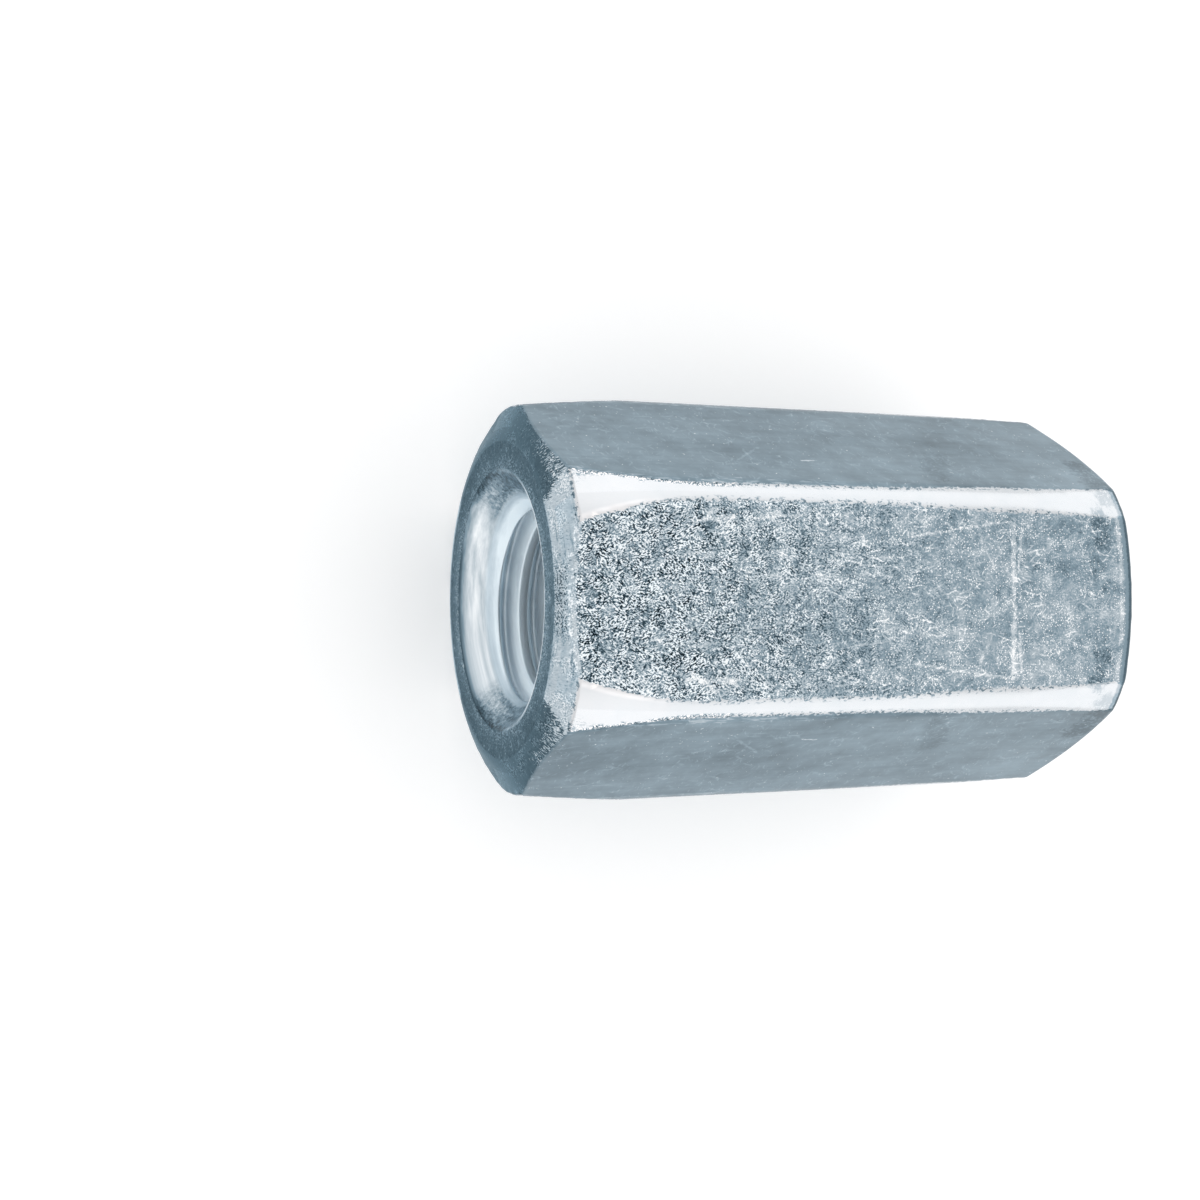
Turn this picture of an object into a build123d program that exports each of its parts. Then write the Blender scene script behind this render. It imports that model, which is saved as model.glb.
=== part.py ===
from build123d import *
import os
from math import cos, radians, tan

# Coupling nut for M10 threaded rod: a hexagonal bar with one thread all the way through it.
# It lies on one of its flats, with the thread's axis along X.
# The origin is under the middle of the nut, on the surface that it lies on.
# Lengths are in millimetres and angles in degrees.

# Hexagonal bar
sides = 6
across_flats = 17.0
length = 30.0
corner_radius = 1.8

# Both ends, outside: the bar's corners taper towards them, and a chamfer breaks the edge
chamfer_width = 0.9  # on the end face, from its edge to the flats
chamfer_angle = 25.0  # from the end face
corner_taper_length = 6.0
left_taper_drop = 0.52  # from the full corner down to the left end face
right_taper_drop = 0.2  # the same at the right end

# Thread, and the countersink at both its ends
thread_diameter = 10.0
thread_pitch = 1.5
countersink_rim = 1.05  # from the thread out to the countersink's edge
countersink_angle = 90.0  # from one side of the countersink to the other

# Sizes that follow from the ones above
half_length = length / 2
flat_distance = across_flats / 2
corner_direction = radians(180 / sides)
corner_distance = (flat_distance - corner_radius) / cos(corner_direction) + corner_radius
end_face_radius = flat_distance - chamfer_width
hole_radius = (thread_diameter - thread_pitch) / 2
countersink_radius = thread_diameter / 2 + countersink_rim


def turned(outline):
    """A solid turned about the X axis. The outline's points are (place along X, radius)."""
    profile = make_face(Polyline(*outline, close=True))
    return revolve(profile, axis=Axis.X)


def hexagonal_bar():
    """The bar along X, with its long corners rounded and one flat facing straight up."""
    hexagon = RegularPolygon(flat_distance, sides, major_radius=False)
    section = fillet(hexagon.vertices(), corner_radius)
    left_end = Plane.YZ.offset(-half_length)
    return extrude(left_end * section, amount=length)


def end_outline(taper_drop):
    """One end's chamfer, and the slight cone behind it that tapers the corners alone.

    The points are (distance from the nut's middle, radius), from the end face's centre inwards.
    The cone clears the bar's corners before it reaches the middle.
    """
    cone_slope = taper_drop / corner_taper_length
    cone_radius_at_end = corner_distance - taper_drop
    chamfer_slope = 1 / tan(radians(chamfer_angle))
    chamfer_depth = (cone_radius_at_end - end_face_radius) / (chamfer_slope - cone_slope)
    return [
        (half_length, 0),
        (half_length, end_face_radius),
        (half_length - chamfer_depth, end_face_radius + chamfer_depth * chamfer_slope),
        (0, cone_radius_at_end + half_length * cone_slope),
    ]


def end_envelope():
    """What the bar is turned down to at both ends."""
    left = [(-distance, radius) for distance, radius in end_outline(left_taper_drop)]
    right = end_outline(right_taper_drop)
    return turned(left + right[::-1])


def threaded_hole():
    """The hole at the thread's tapping size, with a countersink at each end."""
    countersink_slope = tan(radians(countersink_angle / 2))
    countersink_depth = (countersink_radius - hole_radius) / countersink_slope
    wall_end = half_length - countersink_depth
    return turned(
        [
            (-half_length, 0),
            (-half_length, countersink_radius),
            (-wall_end, hole_radius),
            (wall_end, hole_radius),
            (half_length, countersink_radius),
            (half_length, 0),
        ]
    )


def coupling_nut():
    nut = (hexagonal_bar() & end_envelope()) - threaded_hole()
    return Pos(0, 0, flat_distance) * nut


os.makedirs("parts", exist_ok=True)
export_step(coupling_nut(), "parts/coupling_nut.step")
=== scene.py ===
import math

import bmesh
import bpy
import numpy as np
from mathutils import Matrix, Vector, noise


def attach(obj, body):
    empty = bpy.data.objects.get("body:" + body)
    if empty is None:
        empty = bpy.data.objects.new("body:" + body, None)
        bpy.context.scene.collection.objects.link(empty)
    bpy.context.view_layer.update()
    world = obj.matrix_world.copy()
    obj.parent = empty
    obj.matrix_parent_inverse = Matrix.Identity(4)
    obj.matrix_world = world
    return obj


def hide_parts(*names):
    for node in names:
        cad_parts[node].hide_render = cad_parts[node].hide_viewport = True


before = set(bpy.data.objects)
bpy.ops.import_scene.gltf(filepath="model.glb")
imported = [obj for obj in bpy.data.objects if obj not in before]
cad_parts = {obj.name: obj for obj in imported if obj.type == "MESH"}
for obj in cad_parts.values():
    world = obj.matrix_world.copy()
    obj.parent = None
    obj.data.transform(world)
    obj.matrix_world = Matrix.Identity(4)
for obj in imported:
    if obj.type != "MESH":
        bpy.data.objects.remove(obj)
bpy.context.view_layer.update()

# The nut is built in millimetres about the thread's axis, and placed in the frame in metres.
# X runs along the thread. Angles about it go from +Y towards +Z, so the upper flat is at 90 degrees.
MM = 0.001
HALF_LENGTH = 15.0
FLAT = 8.5  # from the axis to a flat
CORNER = 9.536  # from the axis to a rounded long corner
CORNER_ROUND = 1.8
SIXTH = math.radians(60)
HALF_SIXTH = math.radians(30)

# Outside of both ends
FACE_RADIUS = 7.6
FACE_EDGE_ROUND = 0.35
CHAMFER_SLOPE = 1 / math.tan(math.radians(25))
TAPER_LENGTH = 6.0
LEFT_TAPER_DROP = 0.52
RIGHT_TAPER_DROP = 0.2
FULLNESS = 0.12  # how much rounder than a cone the left taper is, beside the upper and lower flats
TAPER_SOFTNESS = 0.05
LEFT_CREASE_SOFTNESS = 0.18
RIGHT_CREASE_SOFTNESS = 0.5

# How uneven the surfaces are. The waves are (depth, size of the lumps, shift of the noise), and the
# ripples beside a border are (height, width, size of the lumps, shift of the noise).
LONG_WAVE = (0.012, 2.6, 3.0)
SHORT_WAVE = (0.006, 0.8, 5.0)
BORE_WAVE = (0.008, 0.7, 11.0)
FACE_WAVE = (0.015, 0.9, 13.0)
TAPER_RIPPLE = (0.03, 0.07, 0.45, 0.0)
CREASE_RIPPLE = (0.09, 0.2, 0.5, 7.0)
LONG_WAVE_STRETCH = (0.4, 1, 1)  # draws its lumps out along X
FACE_EDGE_DROP = 0.006  # how far the rounded edge of an end face lies below its full size

# Columns of points from the middle of a flat to a corner: the first ones are further apart
COARSE_COLUMNS = 6
FINE_COLUMNS = 24
FINE_FROM = 16  # degrees from the middle of the flat

# Rows of points at each end: shares of the chamfer, distances beyond its crease, and depths along the
# taper. Then rows along the middle, shares of the edge round each end face, and rings on that face.
CHAMFER_ROWS = (0.1, 0.22, 0.35, 0.48, 0.6, 0.71, 0.8, 0.88, 0.94, 1.0)
CREASE_ROWS = (0.04, 0.08, 0.12, 0.17, 0.23, 0.3, 0.38)
TAPER_ROWS = np.arange(1.35, 6.6, 0.15)
MIDDLE_ROWS = 38
FACE_EDGE_ROWS = (0.0, 0.12, 0.3, 0.5, 0.75, 1.0)
FACE_RINGS = (6.35, 6.55, 6.75, 6.95, 7.1)

# Thread and countersinks
PITCH = 1.5
MOUTH_RADIUS = 6.05
MOUTH_ROUND = 0.2
MOUTH_ROWS = (0.0, 0.25, 0.5, 0.75, 1.0)
THREAD_START = 0.15  # from the end face, where the rows begin to follow the thread
START_GAP = 0.02  # how far those rows stay from the ring at the thread's start
THREAD_COLUMNS = 96
RUN_OUT_SOFTNESS = 0.04
# The hole's painted light: brighter on its lower side, with painted shade on its upper side near each mouth
ALL_BRIGHT_DEPTHS = (1.0, 1.8)  # between them, the hole's brightness spreads to its upper side
# Half a pitch of the thread, from its crest's middle to its root's: (place along the axis, radius)
THREAD_HALF = [
    (0.0, 4.25),
    (0.18, 4.25),
    (0.225, 4.262),
    (0.27, 4.331),
    (0.38, 4.521),
    (0.5, 4.729),
    (0.62, 4.925),
    (0.68, 4.982),
    (0.75, 4.995),
]

# Grain of the flats, whose contrast is partly painted glints where light falls on it: (direction that the
# flat faces, strength at its left end, strength further along)
FLAT_GRAIN_AND_GLINT = [
    (30, 0.06, 0.06),
    (90, 1.0, 0.44),
    (150, 0.06, 0.06),
    (210, 0.3, 0.5),
    (270, 0.5, 0.8),
    (330, 0.35, 0.1),
]
# Where it changes from the one to the other: (share of the change, from x, to x)
GRAIN_AND_GLINT_FADES = [(0.45, -9.4, -8.2), (0.55, -8.0, 5.0)]

# The grain's rounded corners at the left end of the upper and lower flats, each a quarter of an ellipse,
# beyond which a highlight is painted
GRAIN_END_HALF_WIDTH = 2.6
GRAIN_ROUND = 1.65  # how much wider than that each half becomes
GRAIN_ROUND_LENGTH = 3.6  # how far from the end face it is that wide
GRAIN_ROUND_REACH = 3.25  # the ellipse's half length
GRAIN_ROUND_FADE = 0.8
GRAIN_BORDER = 0.65  # half the width of its soft border

# Marks on the upper flats, and one painted shade: start, end, width and how much paler they are, or darker
# below 0
TOP = 2 * FLAT
SCRATCHES = [
    ((-9.1, 3.2, TOP), (-7.85, 4.0, TOP), 0.3, 0.24),
    ((-9.3, 3.45, TOP), (-7.0, 3.6, TOP), 0.24, 0.2),
    ((-7.4, 3.3, TOP), (-7.1, 3.6, TOP), 0.24, 0.2),
    ((-8.0, 3.4, TOP), (-4.8, 3.7, TOP), 0.16, 0.12),
    ((-4.8, 3.7, TOP), (-1.25, 3.85, TOP), 0.14, 0.1),
    ((-13.55, 3.55, TOP), (-13.5, 2.3, TOP), 0.5, 0.1),
    ((-10.6, 2.0, TOP), (-10.55, 1.5, TOP), 0.5, 0.12),
    ((-9.25, 2.05, TOP), (-8.35, 1.9, TOP), 0.3, 0.15),
    ((-8.2, 3.1, TOP), (-7.9, 2.4, TOP), 0.9, -0.12),
    ((-6.9, 1.35, TOP), (-4.7, 1.0, TOP), 0.12, 0.16),
    ((2.05, 2.9, TOP), (4.65, 3.3, TOP), 0.18, 0.17),
    ((4.65, 3.3, TOP), (7.3, 3.65, TOP), 0.18, 0.17),
    ((7.57, 3.65, TOP), (7.62, 0.0, TOP), 0.36, 0.2),
    ((8.05, 3.4, TOP), (7.9, 1.55, TOP), 0.22, 0.15),
    ((5.75, 2.95, TOP), (5.85, 2.5, TOP), 0.25, 0.14),
    ((6.1, 2.25, TOP), (6.6, 1.4, TOP), 0.14, 0.14),
    ((7.3, 2.05, TOP), (8.15, 2.0, TOP), 0.12, 0.1),
    ((-1.25, 2.1, TOP), (0.9, 1.85, TOP), 0.12, 0.12),
    ((-1.25, 1.7, TOP), (0.9, 1.4, TOP), 0.12, 0.12),
    ((12.5, 3.9, TOP), (12.8, 2.7, TOP), 1.4, -0.15),
    ((12.3, 2.6, TOP), (12.35, 0.0, TOP), 0.5, -0.06),
    ((-13.6, 3.0, TOP), (-13.5, 0.6, TOP), 1.1, -0.07),
    ((-10.4, 2.4, TOP), (-10.3, 0.9, TOP), 0.9, -0.07),
    # painted shade: a wide dark patch by the right end's corner, where the side flat turns away
    ((13.6, 6.6, 14.1), (13.4, 5.2, 16.5), 2.0, -0.1),
    ((-5.6, 6.35, 14.5), (-4.0, 7.05, 13.3), 0.2, 0.07),
    ((-4.85, 6.95, 13.45), (-4.8, 6.45, 14.35), 0.16, 0.06),
    ((-2.25, 6.43, 14.36), (-1.45, 6.46, 14.31), 0.14, 0.25),
    ((5.5, 6.9, 13.5), (4.4, 5.9, 15.3), 1.8, -0.05),
]

# Where the chamfers are painted lit, a painted reflection, and painted in shade elsewhere: (direction in
# degrees, how far it reaches to either side)
LIT_LEFT = [(90, 35), (270, 40)]
LIT_RIGHT = [(30, 46), (150, 40), (275, 50)]
LIT_SLANT = 5  # how many degrees further it reaches at the chamfer's outer edge than at its inner one
LIT_BORDER = 5  # how many degrees its soft border is wide
HATCH_REACH = (32, 10)  # how far beyond it the hatching goes, and where that has its full strength
HATCH_SHINE = 0.48

# The plate's colours by tone, and what they are multiplied by on some parts
COLOURS = [
    (0.0, (0.004, 0.007, 0.01)),
    (0.25, (0.03, 0.052, 0.068)),
    (0.4, (0.084, 0.131, 0.163)),
    (0.59, (0.246, 0.33, 0.388)),
    (0.69, (0.402, 0.467, 0.513)),
    (0.78, (0.53, 0.59, 0.63)),
    (0.9, (0.77, 0.80, 0.825)),
    (1.0, (0.95, 0.96, 0.965)),
]
# whitens the bands' painted highlight
BAND_HIGHLIGHT_TINT = (1.07, 1.01, 0.985, 1)
BLUE_TINT = (0.78, 0.94, 1.03, 1)
SLANT_TINT = (0.72, 0.87, 0.96, 1)

# Light and camera, in metres and radians
FLOOR_SIZE = 6
FLOOR_GREY = 0.85
FLOOR_GLOW = 0.3  # where the floor is seen
WORLD_FILL = 0.9  # the world's strength for diffuse rays, which is 1 where it is seen
LAMP_AZIMUTH = 50  # to either side of +X, in degrees
LAMP_ELEVATION = 24  # in degrees
LAMP_DISTANCE = 0.6
LAMP_SIZE = (0.8, 0.44)
LAMP_RADIANCE = 0.5  # where 1 is white
CAMERA_PLACE = (-0.04008, 0, 0.08178)
CAMERA_TURN = (0, -0.39092, 0)


def noise_at(points, scale, shift=0.0):
    """Smooth noise from -1 to 1 at each point, where scale is the size of its lumps."""
    places = points.reshape(-1, 3) / scale + shift
    return np.array([noise.noise(Vector(place)) for place in places]).reshape(points.shape[:-1])


def wave_at(points, depth, scale, shift):
    """How far the surface lies below its own highest places, which is at most about depth."""
    return depth * (1 + noise_at(points, scale, shift)) / 2


def ripple_at(points, from_border, height, width, scale, shift):
    """How far the surface moves in or out beside a border. It fades out over about width."""
    return height * np.exp(-((from_border / width) ** 2)) * noise_at(points, scale, shift)


def ramp(value, low, high):
    """0 up to low, 1 from high on, and a straight rise between them."""
    return np.clip((value - low) / (high - low), 0, 1)


def smooth_min(a, b, width):
    """The smaller of a and b, rounded off where they are within width of each other."""
    near = np.clip(1 - np.abs(a - b) / width, 0, 1)
    return np.minimum(a, b) - near * near * width / 4


def bend(share, start, corner, end):
    """A point of the curve that rounds a corner off."""
    start, corner, end = np.array(start), np.array(corner), np.array(end)
    return (1 - share) ** 2 * start + 2 * share * (1 - share) * corner + share * share * end


def on_circle(x, radius, angle):
    """Points about the thread's axis."""
    x, radius, angle = np.broadcast_arrays(x, radius, angle)
    return np.stack([x, radius * np.cos(angle), radius * np.sin(angle)], axis=-1)


def from_corner(angle):
    """The angle from the nearest long corner of the hexagon."""
    return np.abs((angle + HALF_SIXTH) % SIXTH - HALF_SIXTH)


def hexagon_radius(angle):
    """The radius of the hexagon with rounded corners."""
    off = from_corner(angle)
    centre = (FLAT - CORNER_ROUND) / math.cos(HALF_SIXTH)
    arc = centre * np.cos(off) + np.sqrt(np.maximum(CORNER_ROUND**2 - (centre * np.sin(off)) ** 2, 0))
    flat = FLAT / np.cos(HALF_SIXTH - off)
    tangent = HALF_SIXTH - math.atan((FLAT - CORNER_ROUND) * math.tan(HALF_SIXTH) / FLAT)
    return np.where(off < tangent, arc, flat)


class Skin:
    """The points, painted values and faces of one closed mesh.

    What is painted at each point:
    turn: how far it turns away from the nearest flat, in degrees, raised to 30 where a highlight is painted
    beside the left ends
    edge: how far it lies beyond the chamfer's outer edge, and below 0 on the chamfer
    face, bore: its share in an end face and in the hole
    grain: how strong the flat's grain and its painted glints are
    shine: the painted light and shade on the chamfer and in the hole
    """

    PAINTS = ("turn", "edge", "face", "bore", "grain", "shine")

    def __init__(self):
        self.points = []
        self.paints = {name: [] for name in self.PAINTS}
        self.faces = []
        self.count = 0

    def add(self, points, **paints):
        """Adds a grid or ring of points, and returns their indices in the same layout."""
        shape = points.shape[:-1]
        size = int(np.prod(shape))
        self.points.append(points.reshape(-1, 3))
        for name in self.PAINTS:
            self.paints[name].append(np.broadcast_to(paints.get(name, 0.0), shape).ravel())
        first = self.count
        self.count += size
        return np.arange(first, first + size).reshape(shape)

    def join_rows(self, rows):
        """Quads between rows that close on themselves from their last point to their first."""
        grid = np.array(rows)
        beside = np.roll(grid, -1, axis=1)
        for low, low_beside, high, high_beside in zip(grid[:-1], beside[:-1], grid[1:], beside[1:]):
            self.faces.extend(np.stack([low, low_beside, high_beside, high], axis=-1).tolist())

    def join_rings(self, outer, inner):
        """Triangles between rings that start at the same angle and have different numbers of points."""
        outer_steps = 0
        inner_steps = 0
        while outer_steps < len(outer) or inner_steps < len(inner):
            on_outer = outer[outer_steps % len(outer)]
            on_inner = inner[inner_steps % len(inner)]
            if (outer_steps + 1) / len(outer) <= (inner_steps + 1) / len(inner):
                outer_steps += 1
                self.faces.append([on_outer, outer[outer_steps % len(outer)], on_inner])
            else:
                inner_steps += 1
                self.faces.append([on_outer, inner[inner_steps % len(inner)], on_inner])

    def join_thread(self, rows, points_per_turn, last_point):
        """Faces between rows that wind along the thread, each ending where the next turn begins.

        A face has three corners where two of its four are the same point, and is left out below that.
        """
        row_ends = np.full((len(rows), 1), last_point)
        row_ends[:-points_per_turn, 0] = rows[points_per_turn:, 0]
        closed = np.concatenate([rows, row_ends], axis=1)
        for low, high in zip(closed[:-1], closed[1:]):
            for corners in zip(low[:-1], low[1:], high[1:], high[:-1]):
                face = list(dict.fromkeys(int(corner) for corner in corners))
                if len(face) > 2:
                    self.faces.append(face)

    def mesh(self, name):
        """The mesh in the frame, without the points that no face uses."""
        points = np.concatenate(self.points)
        points[:, 2] += FLAT
        mesh = bpy.data.meshes.new(name)
        mesh.from_pydata((points * MM).tolist(), [], self.faces)
        for paint, values in self.paints.items():
            attribute = mesh.attributes.new(paint, "FLOAT", "POINT")
            attribute.data.foreach_set("value", np.concatenate(values).astype(np.float32))
        built = bmesh.new()
        built.from_mesh(mesh)
        unused = [point for point in built.verts if not point.link_faces]
        bmesh.ops.delete(built, geom=unused, context="VERTS")
        bmesh.ops.recalc_face_normals(built, faces=built.faces)
        built.to_mesh(mesh)
        built.free()
        mesh.shade_smooth()
        return mesh


def skin_columns():
    """Angles around the nut, closest together where a flat turns into a corner."""
    coarse = np.linspace(0, FINE_FROM, COARSE_COLUMNS, endpoint=False)
    fine = np.linspace(FINE_FROM, 30, FINE_COLUMNS, endpoint=False)
    half = np.concatenate([coarse, fine])
    sixth = np.concatenate([[-30.0], -half[:0:-1], half])
    turns = [sixth + 30 + 60 * k for k in range(6)]
    return np.radians(np.sort(np.concatenate(turns)))


def flat_grain_and_glint(x, angle):
    """How strong the grain and its painted glints are, from 0 to 1. It differs from flat to flat, as the
    light on them does, and fades along each of them.
    """
    fade = sum(share * ramp(x, start, end) for share, start, end in GRAIN_AND_GLINT_FADES)
    grain = np.zeros(x.shape)
    for direction, near, far in FLAT_GRAIN_AND_GLINT:
        off = np.abs((angle - math.radians(direction) + math.pi) % (2 * math.pi) - math.pi)
        grain += (off < HALF_SIXTH) * (near + (far - near) * fade)
    return grain


def turned_from_flat(angle, radius):
    """How far the surface turns away from the nearest flat, in degrees."""
    step = np.roll(angle, -1) - np.roll(angle, 1)
    slope = (np.roll(radius, -1, axis=1) - np.roll(radius, 1, axis=1)) / (step % (2 * math.pi))
    facing = angle - np.arctan2(slope, radius)
    return np.degrees(HALF_SIXTH - from_corner(facing))


def highlight_corner(x, depth, radius, angle):
    """1 beside the left ends of the upper and lower flats, where a painted highlight rounds off the grain.
    """
    from_flat_middle = radius * np.sin(HALF_SIXTH - from_corner(angle))
    short_of = ramp(GRAIN_ROUND_LENGTH - depth, 0, GRAIN_ROUND_REACH)
    grain_half_width = GRAIN_END_HALF_WIDTH + GRAIN_ROUND * np.sqrt(1 - short_of**2)
    beyond = ramp(from_flat_middle - grain_half_width, -GRAIN_BORDER, GRAIN_BORDER)
    fade = ramp(GRAIN_ROUND_LENGTH - depth, 0, GRAIN_ROUND_FADE)
    upper_or_lower = np.abs(np.cos(angle)) < 0.5
    return beyond * fade * (x < 0) * upper_or_lower


def lit_chamfer(angle, share, lit):
    """1 where the chamfer is painted lit, 0 where it is painted in shade, and between them where it is
    hatched.

    Share is 0 at the chamfer's inner edge and 1 at its outer one.
    """
    shine = np.zeros(np.broadcast(angle, share).shape)
    hatched_from, hatched_fully = HATCH_REACH
    for direction, reach in lit:
        away = np.abs((np.degrees(angle) - direction + 180) % 360 - 180)
        within = reach - away
        bright = ramp(within + LIT_SLANT * share, -LIT_BORDER / 2, LIT_BORDER / 2)
        hatched = HATCH_SHINE * ramp(within, -hatched_from, -hatched_fully) * ramp(share, 0.15, 0.65)
        shine = np.maximum(shine, np.maximum(bright, hatched))
    return shine


def end_rows(hexagon, taper_drop, edge_depth):
    """The depth of the chamfer's outer edge at each angle, and the depths of the rows of points."""
    on_flat = (hexagon - FACE_RADIUS) / CHAMFER_SLOPE
    on_taper = (CORNER - taper_drop - FACE_RADIUS) / (CHAMFER_SLOPE - taper_drop / TAPER_LENGTH)
    crease = np.minimum(on_flat, on_taper)
    rows = [edge_depth + (crease - edge_depth) * share for share in CHAMFER_ROWS]
    rows += [crease + beyond for beyond in CREASE_ROWS]
    rows += [np.full_like(crease, depth) for depth in TAPER_ROWS]
    return crease, np.array(rows)


def tapered_radius(x, depth, hexagon, angle):
    """The hexagon's radius with its corners tapered towards both ends."""
    drop = np.where(x < 0, LEFT_TAPER_DROP, RIGHT_TAPER_DROP)
    taper = CORNER - drop * (1 - depth / TAPER_LENGTH)
    along_taper = np.clip(depth / TAPER_LENGTH, 0, 1)
    beside_upper_and_lower = (1 - np.cos(2 * angle)) / 2 * (x < 0)
    taper = taper + FULLNESS * beside_upper_and_lower * 4 * along_taper * (1 - along_taper)
    taper = taper + ripple_at(on_circle(x, hexagon, angle), hexagon - taper, *TAPER_RIPPLE)
    return smooth_min(hexagon, taper, TAPER_SOFTNESS)


def chamfered_radius(x, depth, side, hexagon, angle):
    """The radius of the whole outside, with both chamfers and a slight wave."""
    at = on_circle(x, hexagon, angle)
    chamfer = FACE_RADIUS + CHAMFER_SLOPE * depth
    chamfer = chamfer + ripple_at(at, side - chamfer, *CREASE_RIPPLE)
    softness = np.where(x < 0, LEFT_CREASE_SOFTNESS, RIGHT_CREASE_SOFTNESS)
    wave = wave_at(at * LONG_WAVE_STRETCH, *LONG_WAVE) + wave_at(at, *SHORT_WAVE)
    return smooth_min(side, chamfer, softness) - wave


def outside(skin):
    """The hexagon with its tapered corners and both chamfers. Returns the ring at each end face."""
    angle = skin_columns()
    hexagon = hexagon_radius(angle)
    edge_depth = FACE_EDGE_ROUND / math.hypot(1, CHAMFER_SLOPE)
    left_crease, left_rows = end_rows(hexagon, LEFT_TAPER_DROP, edge_depth)
    right_crease, right_rows = end_rows(hexagon, RIGHT_TAPER_DROP, edge_depth)
    last = float(left_rows[-1, 0])
    middle = np.linspace(last, 2 * HALF_LENGTH - last, MIDDLE_ROWS + 2)[1:-1]
    middle_rows = np.repeat(middle[:, None], len(angle), axis=1)
    x = np.concatenate([left_rows, middle_rows, 2 * HALF_LENGTH - right_rows[::-1]]) - HALF_LENGTH

    depth = HALF_LENGTH - np.abs(x)
    side = tapered_radius(x, depth, hexagon, angle)
    radius = chamfered_radius(x, depth, side, hexagon, angle)
    # the painted highlight beside the left ends counts as fully turned, so the band's pale tone covers it
    turn = turned_from_flat(angle, side) + 30 * highlight_corner(x, depth, radius, angle)
    crease = np.where(x < 0, left_crease, right_crease)
    share = np.clip(depth / crease, 0, 1)
    # painted light and shade on the chamfers, chosen by direction
    shine = np.where(x < 0, lit_chamfer(angle, share, LIT_LEFT), lit_chamfer(angle, share, LIT_RIGHT))
    grid = skin.add(
        on_circle(x, radius, angle),
        turn=np.minimum(turn, 30),
        edge=depth - crease,
        grain=flat_grain_and_glint(x, angle),
        shine=shine,
    )

    on_chamfer = (edge_depth, FACE_RADIUS + edge_depth * CHAMFER_SLOPE)
    left_edge = face_edge(skin, -1, angle, on_chamfer, LIT_LEFT)
    right_edge = face_edge(skin, 1, angle, on_chamfer, LIT_RIGHT)
    skin.join_rows(left_edge + list(grid) + right_edge[::-1])
    return left_edge[0], right_edge[0]


def face_edge(skin, end, angle, on_chamfer, lit):
    """The rounded edge between an end face and its chamfer. End is -1 for the left and 1 for the right."""
    # the same painted light and shade as on the chamfer
    shine = lit_chamfer(angle, 0.0, lit)
    rings = []
    for share in FACE_EDGE_ROWS:
        on_face = (0, FACE_RADIUS - FACE_EDGE_ROUND)
        depth, radius = bend(share, on_face, (0, FACE_RADIUS), on_chamfer)
        points = on_circle(end * (HALF_LENGTH - depth), radius - FACE_EDGE_DROP, angle)
        rings.append(skin.add(points, edge=-1.0, face=max(1 - 3 * share, 0), shine=shine))
    return rings


def inside(skin):
    """The threaded hole with its countersinks. Returns the ring around each mouth."""
    angle = np.linspace(0, 2 * math.pi, THREAD_COLUMNS, endpoint=False)
    # painted light on the lower side of the hole, painted shade on its upper side
    lit_low_side = ramp(-np.sin(angle), -0.45, 0.65)
    limit = HALF_LENGTH - THREAD_START
    start_radius = MOUTH_RADIUS - THREAD_START
    left_start = skin.add(on_circle(-limit, start_radius, angle), bore=1.0, shine=lit_low_side)
    right_start = skin.add(on_circle(limit, start_radius, angle), bore=1.0, shine=lit_low_side)
    thread(skin, angle, lit_low_side, limit, left_start, right_start)
    left_mouth = mouth_edge(skin, -1, angle, lit_low_side, left_start)
    right_mouth = mouth_edge(skin, 1, angle, lit_low_side, right_start)
    return left_mouth, right_mouth


def thread(skin, angle, lit_low_side, limit, left_start, right_start):
    """One surface through the whole hole, whose rows wind along the thread and run out into the cones."""
    half = np.array(THREAD_HALF)
    mirrored = (PITCH, 0) + half[-2:0:-1] * (-1, 1)
    offsets, radii = np.concatenate([half, mirrored]).T
    turns = int(2 * limit / PITCH) + 3
    along = (offsets + PITCH * np.arange(turns)[:, None]).ravel() - limit - PITCH
    x = along[:, None] + PITCH * angle / (2 * math.pi)
    depth = HALF_LENGTH - np.abs(x)
    profile = np.tile(radii, turns)[:, None]
    radius = -smooth_min(-profile, depth - MOUTH_RADIUS, RUN_OUT_SOFTNESS)
    radius = radius + wave_at(on_circle(x, radius, angle), *BORE_WAVE)
    # deeper in, the painted light spreads all around the hole
    shine = lit_low_side + (1 - lit_low_side) * ramp(depth, *ALL_BRIGHT_DEPTHS)

    # What lies beyond the ring at the thread's start, at either end, falls onto that ring's points
    rows = np.where(x < 0, left_start, right_start)
    inner = np.abs(x) < limit - START_GAP
    rows[inner] = skin.add(on_circle(x, radius, angle)[inner], bore=1.0, shine=shine[inner])
    skin.join_thread(rows, len(offsets), right_start[0])


def mouth_edge(skin, end, angle, lit_low_side, start_ring):
    """The rounded edge between a countersink and its end face."""
    on_cone = (MOUTH_ROUND * math.sqrt(0.5), MOUTH_RADIUS - MOUTH_ROUND * math.sqrt(0.5))
    rings = []
    for share in MOUTH_ROWS:
        depth, radius = bend(share, (0, MOUTH_RADIUS + MOUTH_ROUND), (0, MOUTH_RADIUS), on_cone)
        points = on_circle(end * (HALF_LENGTH - depth), radius, angle)
        rings.append(skin.add(points, bore=share, face=1 - share, shine=lit_low_side * share))
    skin.join_rows(rings + [start_ring])
    return rings[0]


def end_face(skin, end, outer, mouth):
    """The flat ring between the chamfer's edge and the countersink's."""
    angle = np.linspace(0, 2 * math.pi, THREAD_COLUMNS, endpoint=False)
    rings = [mouth]
    for radius in FACE_RINGS:
        points = on_circle(end * HALF_LENGTH, radius, angle)
        points[..., 0] -= end * wave_at(points, *FACE_WAVE)
        rings.append(skin.add(points, face=1.0))
    skin.join_rows(rings)
    skin.join_rings(outer, rings[-1])


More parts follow.
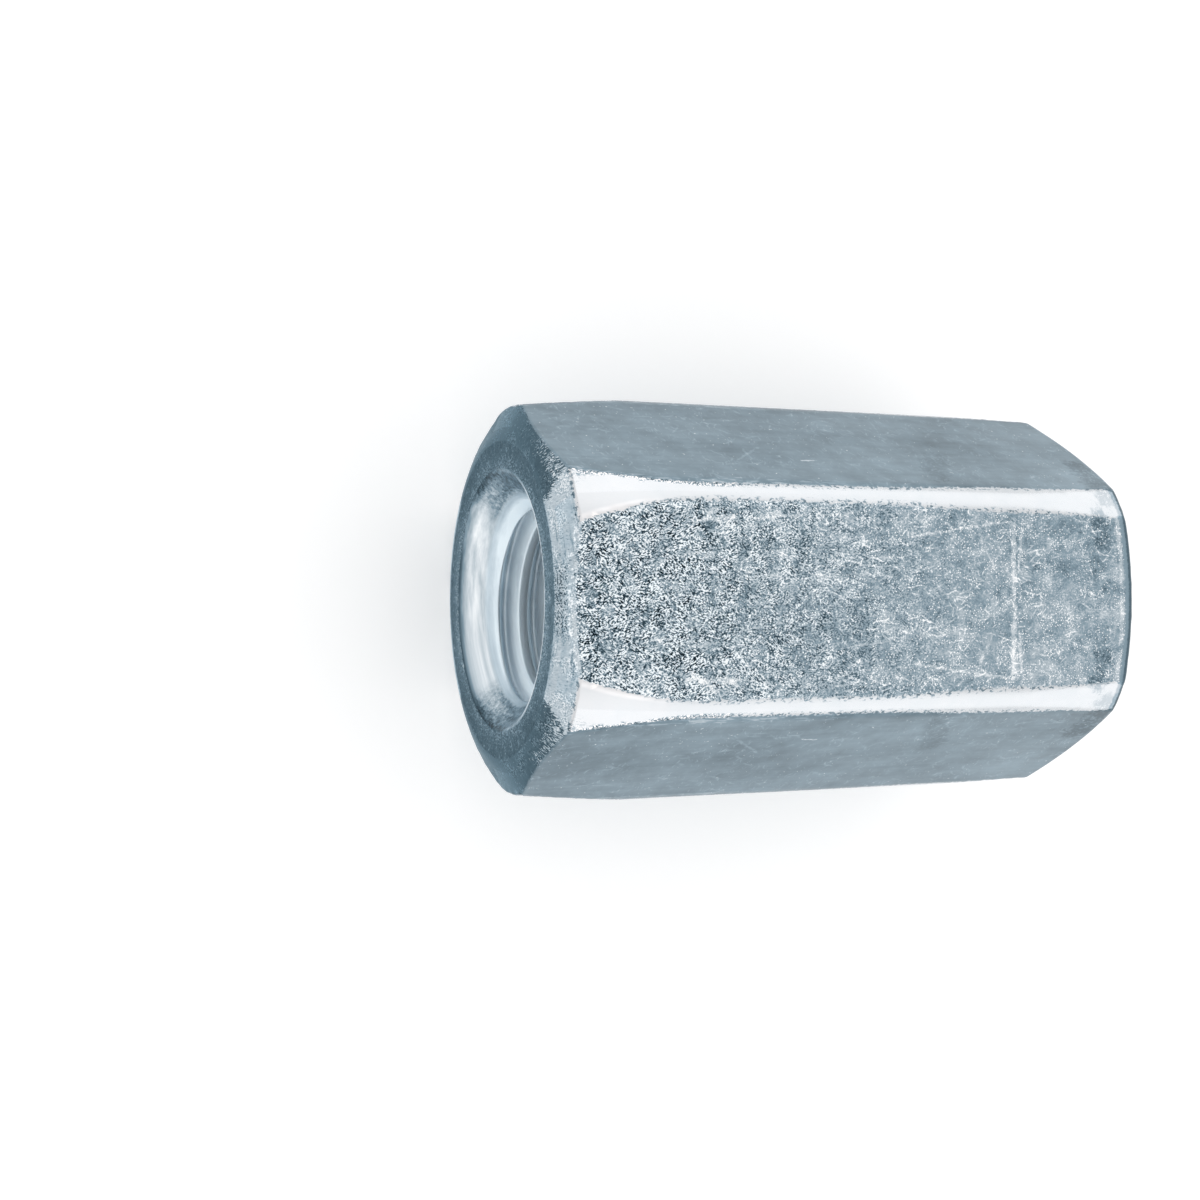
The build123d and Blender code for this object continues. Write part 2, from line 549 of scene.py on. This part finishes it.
def build_nut():
    skin = Skin()
    outer_rings = outside(skin)
    mouths = inside(skin)
    for end, outer, mouth in zip((-1, 1), outer_rings, mouths):
        end_face(skin, end, outer, mouth)
    nut = bpy.data.objects.new("coupling_nut_visual", skin.mesh("coupling_nut_skin"))
    bpy.context.scene.collection.objects.link(nut)
    return nut


class Nodes:
    """Short calls that add the nodes of one material. Lengths in them are in millimetres."""

    def __init__(self, tree):
        self.tree = tree

    def add(self, kind, *values, output=0, **settings):
        """Adds a node. Values go to its inputs in order, and None leaves an input as it is."""
        node = self.tree.nodes.new(kind)
        for name, value in settings.items():
            setattr(node, name, value)
        for socket, value in zip(node.inputs, values):
            if isinstance(value, bpy.types.NodeSocket):
                self.tree.links.new(value, socket)
            elif value is not None:
                socket.default_value = value
        return node.outputs[output]

    def math(self, operation, *values):
        return self.add("ShaderNodeMath", *values, operation=operation)

    def vector(self, operation, *values):
        return self.add("ShaderNodeVectorMath", *values, operation=operation)

    def vector_value(self, operation, *values):
        return self.add("ShaderNodeVectorMath", *values, output="Value", operation=operation)

    def joined(self, x, y, z):
        return self.add("ShaderNodeCombineXYZ", x, y, z)

    def split(self, vector):
        parts = self.tree.nodes.new("ShaderNodeSeparateXYZ")
        self.tree.links.new(vector, parts.inputs[0])
        return parts.outputs

    def sum(self, first, *others):
        for other in others:
            first = self.math("ADD", first, other)
        return first

    def product(self, first, *others):
        for other in others:
            first = self.math("MULTIPLY", first, other)
        return first

    def rest(self, share):
        """What is left of 1."""
        return self.math("SUBTRACT", 1.0, share)

    def centred(self, value):
        """The value with its middle moved from 0.5 to 0."""
        return self.math("SUBTRACT", value, 0.5)

    def blend(self, share, first, second):
        """First where share is 0, and second where it is 1."""
        return self.add("ShaderNodeMix", share, None, first, second)

    def tinted(self, share, colour, tint):
        """The colour, multiplied by the tint where share is 1."""
        return self.add("ShaderNodeMixRGB", share, colour, tint, blend_type="MULTIPLY")

    def step(self, value, low, high, to_low=0.0, to_high=1.0):
        """A smooth step from to_low at low to to_high at high."""
        limits = (low, high, to_low, to_high)
        return self.add("ShaderNodeMapRange", value, *limits, interpolation_type="SMOOTHSTEP")

    def painted(self, name):
        """A value that the mesh holds at each point."""
        return self.add("ShaderNodeAttribute", attribute_name=name, output="Fac")

    def noise(self, position, size, detail=2.0, roughness=0.5, distortion=0.0, stretch=(1, 1, 1), shift=0.0):
        """Noise from 0 to 1, with lumps of that size.

        A number below 1 in stretch draws them out along its axis. Shift picks another part of the noise.
        """
        place = self.vector("MULTIPLY_ADD", position, stretch, (shift, shift, shift))
        settings = (None, 1 / size, detail, roughness, None, None, distortion)
        return self.add("ShaderNodeTexNoise", place, *settings, output="Fac")

    def noise_vector(self, position, scale, detail):
        """Three noises from 0 to 1 at once, with about that many lumps to a millimetre."""
        return self.add("ShaderNodeTexNoise", position, None, scale, detail, output="Color")

    def turned(self, position, degrees):
        """Places turned about the vertical, so that what runs along X in them runs at that angle to it."""
        settings = (None, None, math.radians(-degrees))
        return self.add("ShaderNodeVectorRotate", position, *settings, rotation_type="Z_AXIS")

    def cells(self, position, stretch, shift):
        """The distance to the nearest of many scattered points, which are about 1 / stretch apart."""
        place = self.vector("MULTIPLY_ADD", position, stretch, (shift, shift, shift))
        return self.add("ShaderNodeTexVoronoi", place, None, 1.0, output="Distance")

    def dashes(self, position, degrees, length, width, shift):
        """Short straight marks that run at that angle to X, from 0 to 1."""
        spread = 5.0
        stretch = (0.5 / length, 1 / (spread * width), 0.5 / length)
        distance = self.cells(self.turned(position, degrees), stretch, shift)
        return self.step(distance, 0.26, 0.12)

    def marks(self, position, lines):
        """The sum of straight marks, each with a start, an end, a width and a strength.

        They lie on both sides of the nut's middle plane, slightly bent, with gaps and ragged edges.
        """
        wobble = 0.3
        x, y, z = self.split(position)
        either_side = self.joined(x, self.math("ABSOLUTE", y), z)
        noises = self.noise_vector(position, 2.5, 2.0)
        wobbled = self.vector("MULTIPLY_ADD", noises, (wobble, wobble, wobble), either_side)
        place = self.vector("SUBTRACT", wobbled, (wobble / 2, wobble / 2, wobble / 2))
        gaps = self.step(self.noise(position, 0.2, 2.0, 0.7, shift=97.0), 0.32, 0.5)
        ragged = self.centred(self.noise(position, 0.45, 3.0, 0.7, shift=101.0))
        total = 0.0
        for start, end, width, strength in lines:
            along = Vector(end) - Vector(start)
            offset = self.vector("SUBTRACT", place, start)
            share = self.vector_value("DOT_PRODUCT", offset, tuple(along / along.length_squared))
            share = self.add("ShaderNodeClamp", share, 0.0, 1.0)
            nearest = self.add("ShaderNodeVectorMath", tuple(along), None, None, share, operation="SCALE")
            distance = self.vector_value("DISTANCE", offset, nearest)
            distance = self.sum(distance, self.product(ragged, width * 0.9))
            total = self.sum(total, self.step(distance, width / 2, width / 5, 0.0, strength))
        return self.product(total, gaps)

    def seen_rays(self):
        """1 for camera, glossy and transmission rays, and 0 for the others."""
        path = self.tree.nodes.new("ShaderNodeLightPath")
        seen = self.math("MAXIMUM", path.outputs["Is Camera Ray"], path.outputs["Is Glossy Ray"])
        return self.math("MAXIMUM", seen, path.outputs["Is Transmission Ray"])


class ZincPlate(Nodes):
    """Blue-grey zinc plate.

    Each part of the nut is painted in tones, from 0 for black to 1 for white. The parts are blended
    into one tone, which is coloured last.
    """

    def __init__(self):
        self.material = bpy.data.materials.new("zinc_plate_visual")
        self.material.use_nodes = True
        super().__init__(self.material.node_tree)
        paints = [self.painted(name) for name in Skin.PAINTS]
        self.turn, self.edge, self.face, self.bore, self.grain, self.shine = paints
        self.find_places()
        self.find_patterns()
        self.find_band()

        tone = self.blend(self.band, self.flat_tone(), self.band_tone_and_highlight())
        tone = self.with_worn_edges_and_rim_shade(tone)
        tone = self.with_chamfers(tone)
        tone = self.with_end_faces(tone)
        tone = self.with_bore(tone)
        tone = self.sum(tone, self.marked_lines)

        self.set_input("Base Color", self.colour(tone))
        self.set_input("Roughness", self.roughness())
        self.set_input("Normal", self.add("ShaderNodeBump", 1.0, MM, None, self.height()))
        turned_parts = self.math("MAXIMUM", self.face_share, self.chamfer)
        at_a_slant = self.add("ShaderNodeMixRGB", turned_parts, (1, 1, 1, 1), SLANT_TINT)
        self.set_input("Specular Tint", at_a_slant)
        self.tree.nodes["Principled BSDF"].inputs["Metallic"].default_value = 1.0

    def set_input(self, name, value):
        self.tree.links.new(value, self.tree.nodes["Principled BSDF"].inputs[name])

    def find_places(self):
        in_metres = self.add("ShaderNodeTexCoord", output="Object")
        self.position = self.vector("SCALE", in_metres, None, None, 1 / MM)
        self.x, y, z = self.split(self.position)
        self.above = self.math("SUBTRACT", z, FLAT)
        around = self.math("ARCTAN2", self.above, y)
        self.radius = self.math("SQRT", self.sum(self.product(y, y), self.product(self.above, self.above)))
        self.across = self.math("DIVIDE", self.math("ABSOLUTE", y), self.radius)
        self.beside = self.step(self.across, 0.49, 0.51)
        self.right_half = self.step(self.x, 0.0, 1.0)
        # Places that change slowly outwards or slowly around, for marks that run that way
        lean = self.product(self.radius, self.math("SIGN", y), -0.6)
        leaning = self.sum(self.product(around, 14.0), lean)
        self.outwards = self.joined(leaning, self.product(self.radius, 0.45), self.product(self.x, 0.45))
        slowly_around = self.sum(self.product(self.above, 0.2), self.product(y, 0.15))
        self.around_axis = self.joined(self.x, slowly_around, self.radius)

    def find_patterns(self):
        """Noises and marks that more than one part uses."""
        self.jitter = self.centred(self.noise(self.position, 0.2, 3.0, 0.75))
        self.mottle = self.noise(self.position, 1.0, 3.0, 0.6, 0.4, shift=3.0)
        self.uneven = self.centred(self.mottle)
        streaks = self.noise(self.position, 0.3, 3.0, 0.6, stretch=(0.09, 1, 1), shift=17.0)
        self.streak = self.centred(streaks)
        patches = self.noise(self.position, 0.34, 3.0, 0.6, 0.5, stretch=(0.7, 1, 1), shift=11.0)
        self.patches = self.centred(patches)
        self.fleck = self.noise(self.position, 0.1, 1.0, 0.5, shift=23.0)
        grains = self.noise(self.position, 0.08, 1.0, 0.5, shift=43.0)
        self.grit = self.centred(self.step(grains, 0.4, 0.6))
        self.marked_lines = self.marks(self.position, SCRATCHES)

        # The grain: a crinkle that runs one way in some places and another way in others. Its high contrast
        # is partly painted glints.
        stretch = (0.55, 1, 1)
        one_way = self.noise(self.turned(self.position, 24), 0.056, 2.0, 0.5, 0.8, stretch, 5.0)
        other_way = self.noise(self.turned(self.position, -30), 0.056, 2.0, 0.5, 0.8, stretch, 6.0)
        which_way = self.step(self.noise(self.position, 0.7, 2.0, 0.6, shift=8.0), 0.45, 0.55)
        self.crinkle = self.centred(self.step(self.blend(which_way, one_way, other_way), 0.38, 0.62))
        calm = self.step(self.noise(self.position, 0.8, 3.0, 0.7, shift=7.0), 0.36, 0.62, 0.3, 1.0)
        unmarked = self.blend(self.step(self.marked_lines, 0.03, 0.12), 1.0, 0.3)
        self.crinkled = self.product(self.step(self.grain, 0.3, 0.95), calm, unmarked)

    def find_band(self):
        """Where the smooth, pale bands along the rounded corners are, with a ragged border: 0 is on a flat.
        Their paleness is partly smoother plate and partly a painted highlight.
        """
        self.from_rim = self.sum(self.edge, self.product(self.jitter, 0.2))
        rounded_tip = self.product(self.step(self.from_rim, 0.85, 0.3), self.right_half, -16.0)
        wider_right = self.step(self.x, 0.0, 8.0, 0.0, 8.0)
        narrower_left = self.step(self.x, -13.0, -14.4, 0.0, -4.0)
        wider = self.sum(wider_right, narrower_left, rounded_tip)
        ragged = self.product(self.jitter, 18.0)
        wavy = self.product(self.uneven, self.crinkled, 20.0)
        self.band = self.step(self.sum(self.turn, ragged, wavy, wider), 13.0, 17.0)
        self.band_place = self.sum(self.turn, wider)

    def flat_tone(self):
        """A high-contrast crinkle where the grain is strong, and pale specks and scuffs where it is weak."""
        position = self.position
        marked = self.step(self.grain, 0.1, 0.35)
        scuff = self.step(self.noise(position, 0.6, 4.0, 0.65, 0.8, shift=13.0), 0.5, 0.62)
        beads = self.cells(position, (8.5, 8.5, 8.5), 19.0)
        bead_tone = self.sum(
            self.step(beads, 0.38, 0.2, 0.0, 0.42), self.product(self.step(beads, 0.6, 0.4), -0.08)
        )
        beaded = self.product(marked, self.step(self.noise(position, 0.8, 3.0, 0.7, shift=21.0), 0.4, 0.56))
        bent = self.vector("MULTIPLY_ADD", self.noise_vector(position, 1.2, 3.0), (0.5, 0.5, 0.5), position)
        blades = self.sum(
            self.dashes(bent, 9, 1.3, 0.04, 3.0),
            self.dashes(bent, -17, 1.1, 0.04, 13.0),
            self.dashes(bent, 38, 0.6, 0.035, 33.0),
            self.dashes(bent, -52, 0.5, 0.035, 43.0),
            self.dashes(bent, 86, 0.45, 0.04, 23.0),
        )
        blade_places = self.step(self.noise(position, 1.3, 3.0, 0.7, shift=25.0), 0.4, 0.62)
        bladed = self.product(self.blend(marked, 0.28, 1.0), blade_places)
        wisps = self.noise(position, 0.15, 2.0, 0.6, 1.0, stretch=(0.2, 1, 1), shift=37.0)
        beside_band = self.product(self.step(self.turn, 0.2, 2.0), self.step(self.x, 1.0, -4.0), self.beside)
        specks = self.product(self.step(self.fleck, 0.56, 0.68), self.step(self.mottle, 0.36, 0.6), marked)
        dust = self.step(self.noise(position, 0.13, 1.0, 0.5, shift=29.0), 0.73, 0.78)
        cloud = self.centred(self.noise(position, 3.5, 2.0, 0.5, stretch=(0.5, 1, 1), shift=9.0))
        return self.sum(
            self.blend(marked, 0.5, 0.6),
            self.product(self.crinkled, -0.015),
            self.product(self.crinkle, self.crinkled, 1.1),
            self.product(self.uneven, self.crinkled, 0.42),
            self.product(self.patches, self.crinkled, 0.5),
            self.product(scuff, marked, 0.06),
            self.product(bead_tone, beaded),
            self.product(blades, bladed, 0.24),
            self.product(self.patches, marked, 0.2),
            self.product(specks, 0.18),
            self.product(dust, 0.3),
            self.product(self.uneven, self.blend(marked, 0.2, 0.3)),
            self.product(cloud, 0.22),
            self.product(self.streak, 0.08),
            self.product(self.step(wisps, 0.52, 0.64), beside_band, 0.13),
        )

    def band_tone_and_highlight(self):
        """Smooth, and pale partly as a painted highlight, with pits along the borders and specks beside the
        taper.
        """
        border = self.rest(self.step(self.band_place, 16.0, 25.0))
        pits = self.noise(self.position, 0.13, 2.0, 0.6, 0.6, stretch=(0.6, 1, 1), shift=31.0)
        in_strip = self.product(self.step(self.band_place, 13.0, 15.0), self.step(self.turn, 25.0, 21.0))
        specked = self.product(in_strip, self.step(self.x, -5.0, -9.5), self.beside)
        return self.sum(
            # pale, partly as a painted highlight
            0.8,
            self.product(self.step(pits, 0.52, 0.62), border, -0.36),
            self.product(specked, -0.1),
            self.product(specked, self.grit, 0.5),
            self.product(self.uneven, 0.06),
            # painted light: paler towards the left end, and more so in the upper flat's plane, evening out
            # where the lamp's reflection ends
            self.step(self.x, -9.0, -12.5, 0.0, 0.02),
            self.product(self.step(self.x, -9.0, -12.5), self.step(self.above, 8.34, 8.42), 0.05),
        )

    def with_worn_edges_and_rim_shade(self, tone):
        """The crease between flat and chamfer, worn pale in places, and the right end's rim with painted
        shade, dark at the edge and grey beside it, and a pale painted highlight line.
        """
        from_crease = self.math("ABSOLUTE", self.sum(self.edge, -0.04, self.product(self.jitter, 0.2)))
        on_crease = self.step(from_crease, 0.14, 0.04)
        worn = self.product(on_crease, self.step(self.grain, 0.1, 0.6), self.step(self.mottle, 0.33, 0.5))
        tone = self.blend(self.product(worn, 0.75), tone, 0.84)

        # the right end's rim: painted shade where the surface turns away, and a painted highlight line
        # beside it
        side_flats = self.product(self.beside, self.step(self.turn, 29.0, 16.0))
        rimmed = self.product(self.rest(side_flats), self.right_half)
        between = (self.step(self.from_rim, 0.5, 0.6), self.step(self.from_rim, 0.85, 0.72))
        highlit_rim = self.product(*between, rimmed)
        half_shaded_rim = self.product(self.step(self.from_rim, 0.55, 0.4), rimmed)
        shaded_rim = self.product(self.step(self.from_rim, 0.34, 0.2), rimmed)
        rim_highlight = self.product(highlit_rim, self.step(self.mottle, 0.35, 0.5), self.blend(self.band, 0.12, 0.0))
        tone = self.sum(tone, rim_highlight)
        tone = self.blend(half_shaded_rim, tone, self.blend(self.band, 0.57, 0.66))
        return self.blend(shaded_rim, tone, 0.38)

    def with_chamfers(self, tone):
        """Painted lit in some directions and painted in shade elsewhere, as a painted reflection, with
        strokes running outwards.
        """
        strokes = self.centred(self.noise(self.outwards, 0.1, 2.0, 0.7, shift=41.0))
        from_flat = self.sum(
            self.product(self.edge, -1.0), self.product(self.jitter, 0.16), self.product(strokes, 0.12)
        )
        self.chamfer = self.step(from_flat, -0.02, 0.02)
        stroked_shine = self.sum(self.shine, self.product(strokes, 2.4), self.product(self.jitter, 0.5))
        # painted reflection: lit where the painted shine is high, painted in shade elsewhere
        painted_lit = self.step(stroked_shine, 0.35, 0.65)
        rubbed_place = self.noise(self.around_axis, 0.3, 4.0, 0.75, 0.5, shift=47.0)
        rubbed_place = self.step(self.sum(rubbed_place, self.product(self.jitter, 0.3)), 0.54, 0.62)
        rubbed = self.product(rubbed_place, self.step(self.across, 0.5, 0.3))
        flakes = self.step(self.noise(self.position, 0.25, 3.0, 0.7, 0.8, shift=49.0), 0.48, 0.6)
        near_flat = self.step(from_flat, 0.3, 0.08)
        worn_flakes = self.product(flakes, painted_lit, near_flat, self.step(self.across, 0.45, 0.3))
        pepper = self.step(self.noise(self.position, 0.08, 1.0, 0.5, shift=51.0), 0.5, 0.6)
        peppered = self.product(pepper, self.step(self.across, 0.26, 0.12), self.step(from_flat, 0.08, 0.2))
        chamfer_tone = self.sum(
            self.blend(painted_lit, 0.345, 0.72),
            self.product(worn_flakes, 0.24),
            self.product(peppered, -0.4),
            self.product(strokes, self.blend(painted_lit, 0.16, 0.3)),
            self.product(self.uneven, 0.24),
            self.product(self.grit, self.step(self.mottle, 0.45, 0.6), 0.22),
            self.product(rubbed, painted_lit, -0.2),
        )
        tone = self.blend(self.chamfer, tone, chamfer_tone)

        crack_place = self.math("ABSOLUTE", self.sum(self.edge, self.product(self.jitter, 0.3)))
        cracked = self.step(crack_place, 0.06, 0.02)
        nicks = self.product(cracked, self.band, self.step(self.patches, 0.0, 0.04))
        return self.sum(tone, self.product(nicks, -0.3))

    def with_end_faces(self, tone):
        """Dark, partly the plate's own darker colour and partly painted shade, with a fine uneven surface
        and pale points, and painted light on the upper and lower parts.
        """
        self.lumps = self.centred(self.noise(self.position, 0.3, 3.0, 0.6, 1.0, shift=53.0))
        self.points = self.step(self.noise(self.position, 0.11, 1.0, 0.5, shift=61.0), 0.64, 0.74)
        flakes = self.step(self.noise(self.position, 0.4, 4.0, 0.75, 0.6, shift=57.0), 0.52, 0.68)
        near_mouth = self.step(self.sum(self.radius, self.product(self.lumps, 2.4)), 6.9, 6.3)
        face_tone = self.sum(
            # dark, partly the plate's own colour and partly painted shade
            0.335,
            self.product(self.lumps, 0.24),
            self.product(self.uneven, 0.2),
            self.product(self.grit, 0.07),
            self.product(self.points, 0.18),
            # painted light on the face's upper and lower parts
            self.step(self.across, 0.8, 0.4, 0.0, 0.08),
            self.product(flakes, 0.16),
            self.product(near_mouth, self.step(self.fleck, 0.45, 0.6), 0.2),
        )
        self.face_share = self.step(self.sum(self.face, self.product(self.jitter, 0.5)), 0.3, 0.7)
        return self.blend(self.face_share, tone, face_tone)

    def with_bore(self, tone):
        """Painted bright, as painted light in the hole, and brighter towards the thread's crests, with
        painted shade on the upper side, most near its rim, and deeper in, and marks running around.
        """
        self.rings = self.centred(self.noise(self.around_axis, 0.35, 3.0, 0.65, 0.5, shift=71.0))
        # painted reflection: large blotches running around the hole that stand in for the surroundings it
        # reflects
        reflection_blotches = self.centred(self.noise(self.around_axis, 1.6, 3.0, 0.6, 1.2, shift=73.0))
        self.in_cone = self.step(self.radius, 4.9, 5.1)
        blotched_radius = self.sum(self.radius, self.product(reflection_blotches, 0.8))
        # painted shade on the upper side near the rim
        upper_rim = self.product(self.step(blotched_radius, 5.6, 6.05), self.step(self.above, 1.0, -3.0))
        blotched_depth = self.sum(self.math("ABSOLUTE", self.x), self.product(reflection_blotches, 0.6))
        # darker in random patches at the sides of the countersinks
        sides = self.step(self.across, 0.72, 0.92)
        darker_sides = self.product(sides, self.in_cone, self.sum(self.jitter, -0.16))
        bore_tone = self.sum(
            # painted light: bright where the painted shine is high, and brighter towards the thread's crests
            self.blend(self.shine, 0.62, 0.9),
            self.step(self.radius, 4.9, 4.6, 0.0, 0.12),
            self.product(self.rings, self.blend(self.in_cone, 0.25, 0.5)),
            self.product(reflection_blotches, self.blend(self.in_cone, 0.5, 1.1)),
            self.product(upper_rim, -0.34),
            darker_sides,
            # painted shade deeper in the hole
            self.product(self.step(blotched_depth, 10.55, 10.3), -0.5),
        )
        self.bore_share = self.step(self.sum(self.bore, self.product(self.jitter, 0.3)), 0.2, 0.5)
        tone = self.blend(self.bore_share, tone, bore_tone)
        # painted highlight: a white line along the upper side of each mouth's rounded lip
        lip_highlight = self.product(self.step(self.bore, 0.05, 0.25), self.step(self.bore, 1.0, 0.97))
        return self.blend(self.product(lip_highlight, self.step(self.above, 1.5, 5.0)), tone, 1.0)

    def colour(self, tone):
        """The tone's colour, whiter where the bands' highlight is painted, and bluer in the hole and in the
        grain.
        """
        ramp_node = self.tree.nodes.new("ShaderNodeValToRGB")
        elements = ramp_node.color_ramp.elements
        while len(elements) < len(COLOURS):
            elements.new(0.5)
        for element, (place, colour) in zip(elements, COLOURS):
            element.position = place
            element.color = (*colour, 1)
        self.tree.links.new(tone, ramp_node.inputs["Fac"])
        # where the bands' painted highlight is whitened
        band_highlight = self.product(self.band, self.rest(self.chamfer))
        whitened = self.tinted(band_highlight, ramp_node.outputs["Color"], BAND_HIGHLIGHT_TINT)
        blue = self.sum(
            self.product(self.bore_share, self.blend(self.in_cone, 0.5, 0.18)),
            self.product(self.crinkled, self.rest(band_highlight), 0.3),
        )
        return self.tinted(blue, whitened, BLUE_TINT)

    def roughness(self):
        return self.sum(
            self.blend(self.band, 0.32, 0.22),
            self.product(self.grain, 0.1),
            self.product(self.uneven, 0.2),
            self.product(self.face_share, 0.15),
            self.product(self.bore, self.blend(self.in_cone, 0.26, 0.12)),
        )

    def height(self):
        """The height of the finest unevenness, in millimetres."""
        on_grain = self.product(self.step(self.grain, 0.3, 0.95), self.step(self.turn, 17.0, 10.0))
        return self.sum(
            self.product(self.crinkle, on_grain, 0.0022),
            self.product(self.streak, 0.002),
            self.product(self.rings, self.bore, 0.01),
            self.product(self.face_share, self.lumps, 0.03),
            self.product(self.face_share, self.points, 0.006),
        )


def add_floor():
    bpy.ops.mesh.primitive_plane_add(size=FLOOR_SIZE)
    floor = bpy.context.object
    floor.name = "floor"
    material = bpy.data.materials.new("floor")
    material.use_nodes = True
    nodes = Nodes(material.node_tree)
    shader = material.node_tree.nodes["Principled BSDF"]
    shader.inputs["Base Color"].default_value = (FLOOR_GREY, FLOOR_GREY, FLOOR_GREY, 1)
    shader.inputs["Roughness"].default_value = 0.9
    shader.inputs["Specular IOR Level"].default_value = 0.0
    shader.inputs["Emission Color"].default_value = (1, 1, 1, 1)
    glow = nodes.product(nodes.seen_rays(), FLOOR_GLOW)
    nodes.tree.links.new(glow, shader.inputs["Emission Strength"])
    floor.data.materials.append(material)


def add_world():
    world = bpy.data.worlds.new("studio")
    bpy.context.scene.world = world
    world.use_nodes = True
    nodes = Nodes(world.node_tree)
    background = world.node_tree.nodes["Background"]
    background.inputs["Color"].default_value = (1, 1, 1, 1)
    strength = nodes.blend(nodes.seen_rays(), WORLD_FILL, 1.0)
    nodes.tree.links.new(strength, background.inputs["Strength"])


def add_softbox(name, azimuth):
    """A soft lamp that faces the nut. Azimuth goes from +X towards +Y, in degrees."""
    width, height = LAMP_SIZE
    data = bpy.data.lights.new(name, "AREA")
    data.shape = "RECTANGLE"
    data.size = width
    data.size_y = height
    data.energy = LAMP_RADIANCE * math.pi * width * height
    lamp = bpy.data.objects.new(name, data)
    turn = math.radians(azimuth)
    rise = math.radians(LAMP_ELEVATION)
    away = Vector((math.cos(rise) * math.cos(turn), math.cos(rise) * math.sin(turn), math.sin(rise)))
    lamp.location = away * LAMP_DISTANCE + Vector((0, 0, FLAT * MM))
    lamp.rotation_euler = away.to_track_quat("Z", "Y").to_euler()
    bpy.context.scene.collection.objects.link(lamp)


def add_camera():
    data = bpy.data.cameras.new("camera")
    data.sensor_width = 36
    data.lens = 50.0
    data.clip_start = 0.001
    data.clip_end = 20
    camera = bpy.data.objects.new("camera", data)
    camera.location = CAMERA_PLACE
    camera.rotation_euler = CAMERA_TURN
    bpy.context.scene.collection.objects.link(camera)
    bpy.context.scene.camera = camera


add_floor()
add_world()
add_softbox("left_box", LAMP_AZIMUTH)
add_softbox("right_box", -LAMP_AZIMUTH)
add_camera()
nut = build_nut()
nut.data.materials.append(ZincPlate().material)
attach(nut, "root")
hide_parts("coupling_nut")
bpy.context.scene.view_settings.view_transform = "Standard"
